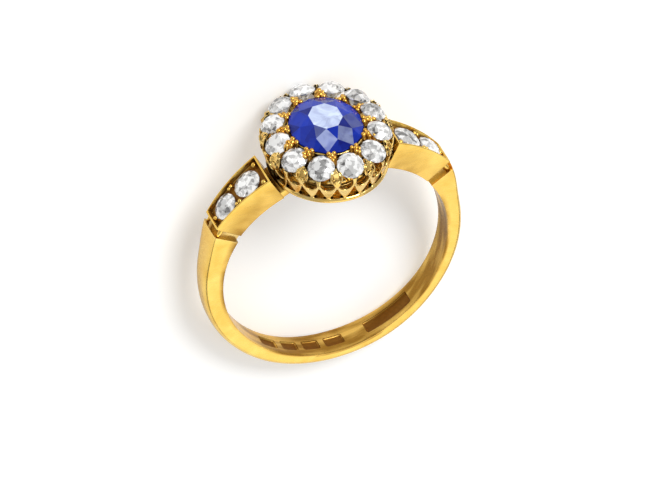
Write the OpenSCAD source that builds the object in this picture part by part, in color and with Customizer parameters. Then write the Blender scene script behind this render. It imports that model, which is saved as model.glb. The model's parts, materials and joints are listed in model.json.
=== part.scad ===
// Cluster ring: an oval sapphire in a border of old-cut diamonds, on an arcaded gallery,
// with two diamonds sunk in each shoulder. Drawn as worn: the finger runs along Y, the
// head points up Z, and at_rest() then lays the ring on its side.

/* [Finger hole] */
// Inside diameter of the ring
hole_d = 17; // [15:0.25:20]

/* [Shank] */
// Width at the back of the finger
back_w = 2.26; // [1.9:0.02:2.6]
// Width halfway round, where the shank is narrowest
waist_w = 1.87; // [1.7:0.01:2]
// Width just below the shoulders
neck_w = 2.28; // [2.1:0.02:2.6]
// Thickness in the middle at the back
back_t = 1; // [0.9:0.02:1.4]
// Thickness in the middle just below the shoulders
neck_t = 2; // [1.8:0.02:2.2]
// How much thinner the shank is worn on the right, and thicker on the left
wear = 0.12; // [0:0.02:0.2]

/* [Shoulders] */
// Width at the end by the head
shoulder_w = 3; // [2.6:0.05:3.4]
// Width at the end by the shank
shoulder_low_w = 2.05; // [1.9:0.05:2.5]
// Thickness from the finger to the top of the rim
shoulder_t = 2.15; // [1.9:0.05:2.4]
// Angle from the top of the ring to the end by the head
shoulder_from = 26.8; // [25:0.1:28]
// Angle from the top of the ring to the end by the shank
shoulder_to = 55.4; // [54:0.1:57]
// Thickness of the raised rim round the diamonds
rim_t = 0.16; // [0.12:0.01:0.25]
// Depth of the channel inside the rim
channel_depth = 0.42; // [0.2:0.02:0.6]
// Angle taken up by the groove between shoulder and shank
groove_angle = 3.2; // [2:0.1:4]
// Depth of that groove in the side faces
groove_depth = 0.24; // [0.1:0.02:0.4]

/* [Gallery] */
// Outer width of the gallery across the finger
gallery_x = 9.2; // [9.1:0.05:9.4]
// Outer width of the gallery along the finger
gallery_y = 10.12; // [10:0.02:10.3]
// Height of the base rim above the finger
base_rim_h = 0.5; // [0.3:0.05:0.7]
// Height above the finger where the arms cross
cross_h = 1.85; // [1.6:0.05:2]
// Height above the finger of the top of the arches
arch_h = 2.34; // [2.2:0.02:2.7]
// Height above the finger of the claw tips
claw_h = 3.22; // [3.1:0.02:3.3]
// Thickness of the pierced wall
wall_t = 0.62; // [0.4:0.02:0.7]

/* [Sapphire] */
// Width across the finger
sapphire_x = 5.05; // [4.8:0.05:5.4]
// Length along the finger
sapphire_y = 6; // [5.8:0.05:6.4]
// Height of the girdle above the finger
sapphire_h = 3.2; // [3.1:0.02:3.5]

/* [Cluster diamonds] */
// Width of the ring of stone centres across the finger
cluster_x = 7.24; // [7.1:0.02:7.6]
// Width of the ring of stone centres along the finger
cluster_y = 8.62; // [8.4:0.02:8.7]
// Height of the stone centres' girdles above the finger
cluster_h = 2.92; // [2.85:0.01:3.15]
// How far each stone leans outwards
cluster_lean = 26; // [16:1:30]
// Dip of the ring of stones towards the left, for each millimetre across
cluster_dip = 0.03; // [0:0.005:0.05]

/* [Hidden] */

hole_r = hole_d / 2;
gold = "gold";

// The border as the setter placed it: angle round the oval, shift outwards, diameter, turn.
// Angle 0 is to the right, 90 is away from the viewer.
CLUSTER = [
    [2.6, -0.03, 1.87, 10, 0],
    [29.6, 0.03, 1.85, 4, 2],
    [58.6, 0.01, 1.85, 14, -5],
    [91, 0.04, 1.9, 0, -2],
    [122.6, 0, 1.87, 8, 0],
    [151.2, -0.03, 1.84, 18, -2],
    [180.2, -0.02, 1.9, 5, 1],
    [208.9, 0.01, 1.9, 12, 0],
    [239.4, 0, 1.89, 0, 1],
    [271.2, -0.02, 1.9, 9, 2],
    [303.8, 0.04, 1.88, 15, 0],
    [334.5, -0.01, 1.87, 3, -2]
];

// Shoulder diamonds: angle from the top of the ring, diameter, turn
SHOULDER_STONES = [
    [35.2, 2.06, 6],
    [47.6, 1.92, 15]
];

// Beads raised in the channel: angle from the top of the ring, place across the channel
BEADS = [
    [29.4, 0.86],
    [29.4, -0.86],
    [41.9, 0.78],
    [41.9, -0.78],
    [54, 0]
];
bead_r = 0.17;

// Point at an angle from the top of the ring, a radius and a place along the finger
function polar(a, r, y) = [r * sin(a), y, r * cos(a)];

// Runs smoothly from 0 to 1 while u runs from lo to hi
function ease(u, lo, hi) = (1 - cos(180 * max(0, min(1, (u - lo) / (hi - lo))))) / 2;
function mix(a, b, t) = a + (b - a) * t;

// Closed solid through a list of rings, each with the same number of points
module skin(rings) {
    n = len(rings[0]);
    last = len(rings) - 1;
    points = [for (ring = rings) each ring];
    sides = [for (i = [0:last - 1], j = [0:n - 1])
        let (a = i * n + j, b = i * n + (j + 1) % n)
        each [[a, b, b + n], [a, b + n, a + n]]];
    start = [for (j = [n - 1:-1:0]) j];
    end = [for (j = [0:n - 1]) last * n + j];
    polyhedron(points, concat([start, end], sides), convexity = 8);
}

// Shank sections from the shoulder to the back: angle from the top of the ring, width,
// thickness at the edge, height of the rounded outer face above the edge
neck_at = shoulder_to + groove_angle;
SHANK = [
    [neck_at, neck_w, neck_t - 0.15, 0.15],
    [72, 2.06, 1.2, 0.28],
    [85, 1.92, 0.9, 0.42],
    [100, waist_w, 0.72, 0.52],
    [125, waist_w, 0.56, 0.6],
    [150, 2.04, 0.46, 0.66],
    [180, back_w, back_t - 0.7, 0.7]
];
// Squareness of the rounded face, 1 for an ellipse and less for flatter
face_power = 0.75;
face_steps = 8;
// The shank and shoulders are drawn this far into the hole before it is bored
bore_stock = 0.4;

// Smooth value of a column of SHANK at an angle
function slope(i, col) = let (a = max(i - 1, 0), b = min(i + 1, len(SHANK) - 1))
    (SHANK[b][col] - SHANK[a][col]) / (SHANK[b][0] - SHANK[a][0]);
function shank_at(angle, col) =
    let (i = max([for (k = [0:len(SHANK) - 2]) if (SHANK[k][0] <= angle + 0.001) k]),
        span = SHANK[i + 1][0] - SHANK[i][0],
        t = (angle - SHANK[i][0]) / span,
        back = i + 1 == len(SHANK) - 1 ? 0 : slope(i + 1, col))
    SHANK[i][col] * (1 + 2 * t) * pow(1 - t, 2) + slope(i, col) * span * t * pow(1 - t, 2)
    + SHANK[i + 1][col] * t * t * (3 - 2 * t) - back * span * t * t * (1 - t);
function squared(v) = sign(v) * pow(abs(v), face_power);

function side_of(a) = a > 180 ? 360 - a : a;
shank_to = 360 - neck_at;
shank_turns = round((shank_to - neck_at) / 5);
function shank_angle(i) = neck_at + (shank_to - neck_at) * i / shank_turns;

// Crowned outer part of the shank
module shank_crown() {
    skin([for (i = [0:shank_turns])
        let (a = shank_angle(i),
            b = side_of(a),
            w = shank_at(b, 1) / 2,
            edge = hole_r + shank_at(b, 2) - wear * sin(a) * ease(b, neck_at, 80))
        [polar(a, hole_r + 0.1, -w),
            for (k = [0:face_steps]) let (f = 180 * (1 - k / face_steps))
                polar(a, edge + shank_at(b, 3) * squared(sin(f)), w * squared(cos(f))),
            polar(a, hole_r + 0.1, w)]]);
}

// Inner part of the shank, to be bored
module shank_band() {
    skin([for (i = [0:shank_turns])
        let (a = shank_angle(i), w = shank_at(side_of(a), 1) / 2 - 0.01)
        [polar(a, hole_r - bore_stock, -w), polar(a, hole_r + 0.2, -w),
            polar(a, hole_r + 0.2, w), polar(a, hole_r - bore_stock, w)]]);
}

// Bar of rectangular section bent round the finger: from and to are angles, w0 and w1 the
// widths at these ends, r0 and r1 the inner and outer radius
module bent_bar(from, to, w0, w1, r0, r1) {
    steps = max(2, ceil((to - from) / 4));
    skin([for (i = [0:steps])
        let (a = from + (to - from) * i / steps, w = mix(w0, w1, i / steps) / 2)
        [polar(a, r0, -w), polar(a, r1, -w), polar(a, r1, w), polar(a, r0, w)]]);
}

shoulder_r = hole_r + shoulder_t;
stone_seat_r = shoulder_r - 0.27;
// Part of the shoulder that runs under the head and carries its base rim
root_from = 21.5;
root_t = 0.86;
rim_angle = 1.1;

module shoulder_body() {
    bent_bar(shoulder_from, shoulder_to, shoulder_w, shoulder_low_w,
        hole_r - bore_stock, shoulder_r);
    bent_bar(root_from, shoulder_from + 1, shoulder_w, shoulder_w - 0.04,
        hole_r - bore_stock, hole_r + root_t);
    // Floor of the groove, which joins the shoulder to the shank
    bent_bar(shoulder_to - 0.5, neck_at + 0.6, shoulder_low_w - 2 * groove_depth,
        shoulder_low_w - 2 * groove_depth, hole_r - bore_stock, hole_r + neck_t - 0.65);
}

module shoulder_hollows() {
    bent_bar(shoulder_from + rim_angle, shoulder_to - rim_angle,
        shoulder_w - 2 * rim_t, shoulder_low_w - 2 * rim_t,
        shoulder_r - channel_depth, shoulder_r + 1);
    for (s = SHOULDER_STONES)
        rotate([0, s[0], 0])
                translate([0, 0, stone_seat_r - 0.06 - 0.45 * s[1]]) {
                    cylinder(h = 0.45 * s[1], r1 = 0.1, r2 = s[1] / 2 + 0.03, $fn = 48);
                    translate([0, 0, 0.45 * s[1]])
                        cylinder(h = 0.5, r = s[1] / 2 + 0.03, $fn = 48);
                }
}

module shoulder_beads() {
    for (b = BEADS)
        rotate([0, b[0], 0])
            translate([0, b[1], 0]) {
                translate([0, 0, shoulder_r - channel_depth - 0.2])
                    cylinder(h = channel_depth + 0.12, r = bead_r, $fn = 24);
                translate([0, 0, shoulder_r - 0.08])
                    sphere(r = bead_r, $fn = 24);
            }
    // Nubs left at the outer corners of the groove
    for (side = [-1, 1])
        rotate([0, shoulder_to - 0.6, 0])
            translate([0, side * (shoulder_low_w / 2 - 0.14), hole_r + neck_t - 0.32])
                rotate([0, 90, 0])
                    cylinder(h = 0.85, r = 0.14, $fn = 24);
}

// Head, drawn round and then made oval: radius, and heights from the centre of the hole
head_r = 4.6;
oval = gallery_y / gallery_x;
rim_top = hole_r + base_rim_h;
cross_z = hole_r + cross_h;
arch_z = hole_r + arch_h;
plate_z = arch_z - 0.4;
// The base rim just clears the bored hole
rim_low = hole_r + 0.02;

function stone_angle(i) = CLUSTER[i % 12][0] + 360 * floor(i / 12);
function claw_angle(i) = (stone_angle(i) + stone_angle(i + 1)) / 2;
POSTS = [for (i = [0:12]) each [stone_angle(i), claw_angle(i)]];

// Wall of the gallery in section: it opens upwards from the base rim
module gallery_wall() {
    low_r = head_r - 0.46;
    rotate_extrude($fn = 48)
        polygon([
            [low_r - wall_t, rim_low], [low_r, rim_low], [low_r + 0.09, rim_low + 0.2],
            [low_r + 0.09, rim_top - 0.08], [low_r + 0.02, rim_top], [head_r - 0.04, cross_z],
            [head_r, arch_z], [head_r - 0.6, arch_z - 0.26],
            [head_r - 0.1 - wall_t, cross_z - 0.1], [low_r - wall_t, rim_top]
        ]);
}

// Pierces the wall at an angle with an outline of [across, height] points
module pierce(angle, outline) {
    rotate([0, 0, angle])
        translate([head_r - 1.8, 0, 0])
            rotate([90, 0, 90])
                linear_extrude(2.4)
                    polygon(outline);
}

// Triangle under a crossing; k widens it where the posts stand further apart
function triangle(k) = [
    [-0.43 * k, rim_top + 0.03], [0.43 * k, rim_top + 0.03], [0.2 * k, rim_top + 0.68],
    [0, cross_z - 0.3], [-0.2 * k, rim_top + 0.68]
];
// Pointed opening between two posts, open at the top under the stone
function almond(k) = [
    [0.16 * k, rim_top + 0.86], [0.32 * k, rim_top + 1.02], [0.38 * k, cross_z],
    [0.36 * k, cross_z + 0.2], [0.22 * k, arch_z - 0.06], [0.2 * k, arch_z + 0.2],
    [-0.2 * k, arch_z + 0.2], [-0.22 * k, arch_z - 0.06], [-0.36 * k, cross_z + 0.2],
    [-0.38 * k, cross_z], [-0.32 * k, rim_top + 1.02], [-0.16 * k, rim_top + 0.86]
];

module arcade() {
    difference() {
        gallery_wall();
        for (i = [0:23]) {
            pierce(POSTS[i], triangle((POSTS[i + 1] - POSTS[i]) / 15));
            pierce((POSTS[i] + POSTS[i + 1]) / 2, almond((POSTS[i + 1] - POSTS[i]) / 15));
        }
    }
}

// Claw between two stones, with a hollow kite on its face. Each row: height above the
// crossing, inner radius, outer radius, half width, depth of the hollow.
CLAW = [
    [-0.25, 3.9, 4.48, 0.16, 0],
    [0.1, 3.94, 4.56, 0.18, 0.02],
    [0.72, 4.04, 4.58, 0.33, 0.15],
    [1.02, 4.08, 4.54, 0.39, 0.14],
    [1.2, 4.1, 4.36, 0.22, 0.07],
    [claw_h - cross_h, 4.04, 4.14, 0.06, 0.01]
];

module claw() {
    skin([for (c = CLAW) [
        [c[1], 0, cross_z + c[0]], [c[2], c[3], cross_z + c[0]],
        [c[2] - c[4], 0, cross_z + c[0]], [c[2], -c[3], cross_z + c[0]]
    ]]);
}

function ellipse(x, y, n) = [for (i = [0:n - 1]) [x / 2 * cos(360 * i / n), y / 2 * sin(360 * i / n)]];

// Oval prism that follows the sapphire, wider all round by more
module oval_prism(more, low, high) {
    x = sapphire_x + 2 * more;
    y = (sapphire_y + 2 * more) / oval;
    translate([0, 0, low])
        linear_extrude(high - low)
            polygon(ellipse(x, y, 48));
}

// Inner collet that carries the sapphire, thinned at the top between the diamonds
module collet() {
    girdle_z = hole_r + sapphire_h;
    top = girdle_z - 0.08;
    difference() {
        union() {
            oval_prism(0.25, rim_low + 0.1, top - 0.24);
            oval_prism(0.1, rim_top + 1, top);
        }
        oval_prism(-0.42, rim_low - 1, top + 1);
        // Seat cut to the shape of the stone
        translate([0, 0, girdle_z - 0.03])
            scale([1.01, 1.01 / oval, 1])
                oval_stone();
    }
}

// Floor under the gallery, open under the sapphire
module base_plate() {
    difference() {
        translate([0, 0, rim_low + 0.04])
            cylinder(h = 0.28, r = head_r - 0.8, $fn = 48);
        oval_prism(-0.3, rim_low - 1, rim_low + 1);
    }
}

// Floor between the collet and the wall, drilled under each diamond
module seat_plate() {
    difference() {
        translate([0, 0, plate_z - 0.25])
            cylinder(h = 0.25, r = head_r - 0.5, $fn = 48);
        oval_prism(0, plate_z - 1, plate_z + 1);
        for (i = [0:11])
            let (a = stone_angle(i), out = cluster_x / 2 - 0.12)
                translate([out * cos(a), (cluster_y - cluster_x + 2 * out) / 2 / oval * sin(a), plate_z - 1])
                    cylinder(h = 2, r = 0.52, $fn = 12);
    }
}

// Radius of the sapphire at an angle, in the round drawing
function stone_edge(a) = 1 / norm([2 * cos(a) / sapphire_x, 2 * oval * sin(a) / sapphire_y]);

// Beaded inner claw between the sapphire and two diamonds; edge is the sapphire's radius there
module grain_claw(edge) {
    bead_z = hole_r + sapphire_h + 0.1;
    translate([edge + 0.27, 0, plate_z - 0.1])
        cylinder(h = bead_z - plate_z + 0.1, r = 0.12, $fn = 8);
    for (g = [[0.18, 0, 0.13], [0.34, 0.06, 0.1], [0.34, -0.06, 0.1]])
        translate([edge + g[0], g[1], bead_z - 0.3 * g[0]])
            sphere(r = g[2], $fn = 8);
}

module head() {
    resize([gallery_x, gallery_y, 0])
        union() {
            arcade();
            collet();
            seat_plate();
            base_plate();
            for (i = [0:11])
                rotate([0, 0, claw_angle(i)]) {
                    claw();
                    grain_claw(stone_edge(claw_angle(i)));
                }
        }
}

// Cut stone: girdle radius along X and Y, table as a part of it, heights of crown, pavilion
// and girdle, and the angle that the facets are turned by
module brilliant(rx, ry, table, crown, pavilion, girdle, turn) {
    star = (1 + table) / 2 * 1.02;
    star_z = crown * (1 - star * cos(22.5)) / (1 - table);
    lower = 0.42;
    culet = 0.06;
    lower_z = pavilion * (1 - lower * cos(22.5)) / (1 - culet);
    top = girdle / 2;
    function round_of(n, r, z, a) = [for (i = [0:n - 1])
        [rx * r * cos(a + turn + 360 * i / n), ry * r * sin(a + turn + 360 * i / n), z]];
    points = concat(
        round_of(8, table, top + crown, 0),
        round_of(8, star, top + star_z, 22.5),
        round_of(16, 1, top, 0),
        round_of(16, 1, -top, 0),
        round_of(8, lower, -top - lower_z, 22.5),
        round_of(8, culet, -top - pavilion, 0)
    );
    // First point of each round
    s = 8;
    g = 16;
    h = 32;
    p = 48;
    c = 56;
    faces = concat(
        [[for (k = [7:-1:0]) k]],
        [for (k = [0:7]) let (n = (k + 1) % 8, b = (k + 7) % 8) each [
            [k, n, s + k],
            [k, s + k, g + 2 * k, s + b],
            [s + k, g + 2 * k + 1, g + 2 * k],
            [s + k, g + 2 * n, g + 2 * k + 1],
            [p + k, h + 2 * k, h + 2 * k + 1],
            [p + k, h + 2 * k + 1, h + 2 * n],
            [c + k, p + b, h + 2 * k, p + k],
            [c + k, p + k, c + n]
        ]],
        [for (j = [0:15]) let (n = (j + 1) % 16) each [
            [h + n, h + j, g + j],
            [h + n, g + j, g + n]
        ]],
        [[for (k = [0:7]) c + k]]
    );
    polyhedron(points, faces, convexity = 4);
}

module oval_stone() {
    brilliant(sapphire_x / 2, sapphire_y / 2, 0.46, 0.8, 2.25, 0.1, 22.5);
}

module sapphire() {
    color("royalblue")
        at_rest()
            translate([0, 0, hole_r + sapphire_h])
                oval_stone();
}

// Height of the ring of stones at an angle
function cluster_z(a) = hole_r + cluster_h + cluster_dip * cluster_x / 2 * cos(a);

module cluster_diamond(i) {
    a = CLUSTER[i][0];
    turn = atan2(cluster_x * sin(a), cluster_y * cos(a));
    r = CLUSTER[i][2] / 2;
    color("white")
        at_rest()
            translate([cluster_x / 2 * cos(a), cluster_y / 2 * sin(a), cluster_z(a)])
                rotate([0, 0, turn])
                    translate([CLUSTER[i][1], 0, 0])
                        rotate([0, cluster_lean + CLUSTER[i][4], 0])
                            brilliant(r, r, 0.5, 0.36, 0.8, 0.06, CLUSTER[i][3]);
}

module shoulder_diamond(i, side) {
    r = SHOULDER_STONES[i][1] / 2;
    color("white")
        at_rest()
            rotate([0, side * SHOULDER_STONES[i][0], 0])
                translate([0, 0, stone_seat_r])
                    brilliant(r, r, 0.5, 0.3, 0.75 * r, 0.06, SHOULDER_STONES[i][2]);
}

module mount() {
    color(gold)
        at_rest() {
            difference() {
                union() {
                    shank_band();
                    for (side = [0, 1])
                        mirror([side, 0, 0])
                            shoulder_body();
                }
                for (side = [0, 1])
                    mirror([side, 0, 0])
                        shoulder_hollows();
                rotate([90, 0, 0])
                    cylinder(h = 12, r = hole_r, center = true, $fn = 180);
            }
            shank_crown();
            for (side = [0, 1])
                mirror([side, 0, 0])
                    shoulder_beads();
            head();
        }
}

// The ring lies on its side, on the edge of the head away from the viewer and the edge of
// the back of the shank. Both contacts are [along the finger, height] as worn.
head_contact = [
    cluster_y / 2 + CLUSTER[3][1] + CLUSTER[3][2] / 2 * cos(cluster_lean + CLUSTER[3][4]),
    hole_r + cluster_h - CLUSTER[3][2] / 2 * sin(cluster_lean + CLUSTER[3][4])
];
back_contact = [back_w / 2 - 0.01, -(hole_r + back_t - 0.62)];
lean = atan2(head_contact[0] - back_contact[0], head_contact[1] - back_contact[1]);
// Height of the hole's centre above the surface, and middle of the ring's length on it
rest_z = back_contact[0] * cos(lean) - back_contact[1] * sin(lean);
top_y = (hole_r + sapphire_h + 0.85) * cos(lean) + sapphire_y * 0.23 * sin(lean);
low_y = -(hole_r + back_t) * cos(lean) - back_w * 0.2 * sin(lean);

module at_rest() {
    translate([wear, -(top_y + low_y) / 2, rest_z])
        rotate([lean - 90, 0, 0])
            children();
}

mount();
sapphire();
for (i = [0:11])
    cluster_diamond(i);
shoulder_diamond(0, 1);  // shoulder_diamond_right_upper
shoulder_diamond(1, 1);  // shoulder_diamond_right_lower
shoulder_diamond(0, -1);  // shoulder_diamond_left_upper
shoulder_diamond(1, -1);  // shoulder_diamond_left_lower
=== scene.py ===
# Cluster ring: an oval sapphire and old-cut diamonds in gold, lying on its side on a pale table.
# The gold is drawn in millimetres as the ring is worn, the finger along Y and the head up Z,
# and then laid down as the solids lie.
import json
import math

import bmesh
import bpy
from mathutils import Matrix, Vector
from mathutils.bvhtree import BVHTree

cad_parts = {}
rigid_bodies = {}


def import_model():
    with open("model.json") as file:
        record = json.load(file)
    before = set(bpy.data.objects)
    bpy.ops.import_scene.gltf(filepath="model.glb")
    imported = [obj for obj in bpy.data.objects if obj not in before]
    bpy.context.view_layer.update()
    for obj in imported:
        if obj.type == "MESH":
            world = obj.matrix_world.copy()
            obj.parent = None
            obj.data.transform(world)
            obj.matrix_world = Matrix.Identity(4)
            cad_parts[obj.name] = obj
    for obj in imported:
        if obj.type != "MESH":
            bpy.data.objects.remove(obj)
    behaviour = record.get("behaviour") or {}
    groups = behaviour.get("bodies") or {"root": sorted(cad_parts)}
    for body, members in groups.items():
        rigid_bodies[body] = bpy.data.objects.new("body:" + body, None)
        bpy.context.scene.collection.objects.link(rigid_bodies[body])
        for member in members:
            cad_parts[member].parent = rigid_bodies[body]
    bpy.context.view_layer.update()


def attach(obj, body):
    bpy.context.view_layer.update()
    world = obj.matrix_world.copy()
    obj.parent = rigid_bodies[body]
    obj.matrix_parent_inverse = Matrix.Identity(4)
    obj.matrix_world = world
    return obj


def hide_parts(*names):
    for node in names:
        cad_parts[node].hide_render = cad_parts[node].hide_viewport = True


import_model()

# How the ring lies: lean in degrees, and the hole's centre in millimetres
lying = {"lean": 11.628, "centre": (0.12, -1.5872, 2.8869)}


def only(piece):
    if bpy.context.object and bpy.context.object.mode != "OBJECT":
        bpy.ops.object.mode_set(mode="OBJECT")
    bpy.ops.object.select_all(action="DESELECT")
    if piece:
        piece.select_set(True)
        bpy.context.view_layer.objects.active = piece


def named(name):
    # the primitive just added gets its name, and its place goes into the mesh
    piece = bpy.context.object
    only(piece)
    bpy.ops.object.transform_apply(location=True, rotation=True, scale=True)
    piece.name = name
    piece.data.name = name
    return piece


def moveEach(piece, rule):
    # every vertex goes where the rule sends it
    for vertex in piece.data.vertices:
        vertex.co = rule(vertex.co)
    piece.data.update()


def pick(piece, test, kind="FACE"):
    # in edit mode, selects the faces or vertices whose place and normal pass the test
    bpy.ops.mesh.select_mode(type=kind)
    bpy.ops.mesh.select_all(action="DESELECT")
    mesh = bmesh.from_edit_mesh(piece.data)
    if kind == "FACE":
        for face in mesh.faces:
            face.select_set(test(face.calc_center_median(), face.normal))
    else:
        for vertex in mesh.verts:
            vertex.select_set(test(vertex.co, vertex.normal))
    mesh.select_flush_mode()
    bmesh.update_edit_mesh(piece.data)


def sliceUp(piece, places, normal):
    # cuts edges across the piece, so that it can be bent or flared
    only(piece)
    bpy.ops.object.mode_set(mode="EDIT")
    for place in places:
        bpy.ops.mesh.select_all(action="SELECT")
        bpy.ops.mesh.bisect(plane_co=place, plane_no=normal)
    bpy.ops.object.mode_set(mode="OBJECT")


def sliceAlong(piece, low, high, count):
    # parts the piece into equal lengths from low to high along X
    sliceUp(piece, [(low + (high - low) * k / count, 0, 0) for k in range(1, count)], (1, 0, 0))


def useModifier(piece, kind, **settings):
    only(piece)
    added = piece.modifiers.new(kind.lower(), kind)
    for key, value in settings.items():
        setattr(added, key, value)
    bpy.ops.object.modifier_apply(modifier=added.name)


def cleanUp(piece, angle=35):
    # merges doubled corners, points the faces outwards and smooths all but sharp edges
    only(piece)
    bpy.ops.object.mode_set(mode="EDIT")
    bpy.ops.mesh.select_all(action="SELECT")
    bpy.ops.mesh.remove_doubles(threshold=0.0008)
    bpy.ops.mesh.normals_make_consistent(inside=False)
    bpy.ops.object.mode_set(mode="OBJECT")
    bpy.ops.object.shade_smooth_by_angle(angle=math.radians(angle))


def closeHoles(piece):
    only(piece)
    bpy.ops.object.mode_set(mode="EDIT")
    bpy.ops.mesh.select_mode(type="EDGE")
    bpy.ops.mesh.select_all(action="DESELECT")
    bpy.ops.mesh.select_non_manifold()
    bpy.ops.mesh.fill_holes(sides=0)
    bpy.ops.object.mode_set(mode="OBJECT")


def copyOf(piece, name, change=None):
    twin = piece.copy()
    twin.data = piece.data.copy()
    twin.name = name
    bpy.context.collection.objects.link(twin)
    if change:
        twin.data.transform(change)
    return twin


def joined(pieces, name):
    only(pieces[0])
    for piece in pieces:
        piece.select_set(True)
    if len(pieces) > 1:
        bpy.ops.object.join()
    return named(name)


def mirrored(piece, name):
    # the same piece on the left side
    twin = copyOf(piece, name, Matrix.Diagonal((-1, 1, 1, 1)))
    cleanUp(twin)
    return twin


def cutAway(piece, cutter):
    # takes the cutter's shape out of the piece, and removes the cutter
    useModifier(piece, "BOOLEAN", operation="DIFFERENCE", object=cutter, solver="EXACT")
    bpy.data.objects.remove(cutter)


def onRing(angle, radius, along):
    # degrees from the top of the ring, radius, and place along the finger
    turn = math.radians(angle)
    return Vector((radius * math.sin(turn), along, radius * math.cos(turn)))


def ease(value, low, high):
    # a smooth rise from 0 at low to 1 at high
    part = max(0, min(1, (value - low) / (high - low)))
    return (1 - math.cos(math.pi * part)) / 2


# Shank. Sections: degrees from the top, width, edge thickness, height of the crown
shank = {
    "boreRadius": 8.5,
    "from": 58.6,
    "sections": [(58.6, 2.28, 1.85, 0.15), (72, 2.06, 1.2, 0.28), (85, 1.92, 0.9, 0.42),
                 (100, 1.87, 0.72, 0.52), (125, 1.87, 0.56, 0.6), (150, 2.04, 0.46, 0.66),
                 (180, 2.26, 0.3, 0.7)],
    "thinnerOnTheRight": 0.12,
    "squareness": 0.75,
    "edgeRound": 0.05,
    "steps": 160,
}


def shankAt(angle):
    # width, edge thickness and crown at an angle, on smooth curves through the sections
    rows = shank["sections"]
    last = len(rows) - 1
    place = next(i for i in range(last) if angle <= rows[i + 1][0] + 0.001)

    def slope(i, column):
        low, high = max(i - 1, 0), min(i + 1, last)
        return (rows[high][column] - rows[low][column]) / (rows[high][0] - rows[low][0])

    span = rows[place + 1][0] - rows[place][0]
    t = max(0, (angle - rows[place][0]) / span)
    found = []
    for column in (1, 2, 3):
        endSlope = 0 if place + 1 == last else slope(place + 1, column)
        found.append(rows[place][column] * (1 + 2 * t) * (1 - t) ** 2
                     + slope(place, column) * span * t * (1 - t) ** 2
                     + rows[place + 1][column] * t * t * (3 - 2 * t)
                     - endSlope * span * t * t * (1 - t))
    return found


def unitSection():
    # one section: across from -1 to 1; height 0 at the finger, 1 at the edge, 2 on the crown
    points = [(-0.96 + 1.92 * k / 8, 0) for k in range(9)]
    points += [(0.988, 0.03), (1, 0.1), (1, 0.4), (1, 0.7)]
    for k in range(21):
        turn = math.pi * k / 20
        across = math.copysign(abs(math.cos(turn)) ** shank["squareness"], math.cos(turn))
        points.append((across, 1 + math.sin(turn) ** shank["squareness"]))
    points += [(-1, 0.7), (-1, 0.4), (-1, 0.1), (-0.988, 0.03)]
    return points


def makeShank():
    section = unitSection()
    bore, start = shank["boreRadius"], shank["from"]
    bpy.ops.mesh.primitive_circle_add(vertices=len(section), radius=1)
    hoop = named("shank")
    for vertex, (across, height) in zip(hoop.data.vertices, section):
        vertex.co = onRing(start, bore + height, across)
    only(hoop)
    bpy.ops.object.mode_set(mode="EDIT")
    bpy.ops.mesh.select_all(action="SELECT")
    bpy.ops.mesh.spin(steps=shank["steps"], angle=math.radians(2 * start - 360),
                      center=(0, 0, 0), axis=(0, 1, 0))
    bpy.ops.object.mode_set(mode="OBJECT")

    def fit(corner):
        angle = math.degrees(math.atan2(corner.x, corner.z)) % 360
        side = 360 - angle if angle > 180 else angle
        width, edge, crown = shankAt(max(side, start))
        edge -= shank["thinnerOnTheRight"] * math.sin(math.radians(angle)) * ease(side, start, 80)
        height = math.hypot(corner.x, corner.z) - bore
        if height <= 0.1:
            radius = bore + height / 0.1 * shank["edgeRound"]
        elif height <= 1:
            rise = (height - 0.1) / 0.9
            radius = bore + shank["edgeRound"] + (edge - shank["edgeRound"]) * rise
        else:
            radius = bore + edge + crown * (height - 1)
        return onRing(angle, radius, corner.y * width / 2)

    moveEach(hoop, fit)
    closeHoles(hoop)
    cleanUp(hoop)
    return hoop


# Blank struck recesses inside the back. Places: degrees from the top, length, height
marks = {
    "depth": 0.15,
    "punch": 0.6,
    "corner": 0.16,
    "softEdge": 0.02,
    "lengths": 6,
    "places": [(151.5, 3.9, 1.15), (181, 1.45, 0.95), (193, 1.3, 0.95), (204.5, 1.3, 0.95),
               (217, 1.5, 0.95)],
}


def strikeMarks(hoop):
    punches = []
    for angle, length, height in marks["places"]:
        bpy.ops.mesh.primitive_cube_add(size=1, scale=(length, height, marks["punch"]))
        punch = named("punch")
        useModifier(punch, "BEVEL", width=marks["corner"], segments=3, limit_method="ANGLE")
        places = [(length * (k / marks["lengths"] - 0.5), 0, 0)
                  for k in range(1, marks["lengths"])]
        sliceUp(punch, places, (1, 0, 0))
        turn = math.degrees(1 / shank["boreRadius"])
        reach = shank["boreRadius"] + marks["depth"] - marks["punch"] / 2
        moveEach(punch, lambda c, a=angle: onRing(a + c.x * turn, reach + c.z, c.y))
        punches.append(punch)
    cutter = joined(punches, "punches")
    cleanUp(cutter)
    cutAway(hoop, cutter)
    useModifier(hoop, "BEVEL", width=marks["softEdge"], segments=2, limit_method="ANGLE",
                angle_limit=math.radians(50), use_clamp_overlap=True)
    cleanUp(hoop, 62)


# Shoulders, drawn flat and then bent round the finger
shoulder = {
    "from": 26.8, "to": 55.4,
    "width": 3.0, "lowWidth": 2.05,
    "top": 10.65, "bore": 8.5,
    "rim": 0.14, "channel": 0.42,
    "stones": [(35.2, 2.06), (47.6, 1.92)],
    "seat": 10.38,
    "softEdge": 0.04,
    "lengths": 20,
    "flatRadius": 10.0,
}
# Conical seat under a shoulder stone: depth by the stone's width, radius at the point, play,
# height of the open part above it, and how far it sits below the girdle
stoneSeat = {"deep": 0.45, "point": 0.1, "play": 0.04, "open": 0.5, "sink": 0.05}


def flatX(angle):
    return math.radians(angle) * shoulder["flatRadius"]


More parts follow.
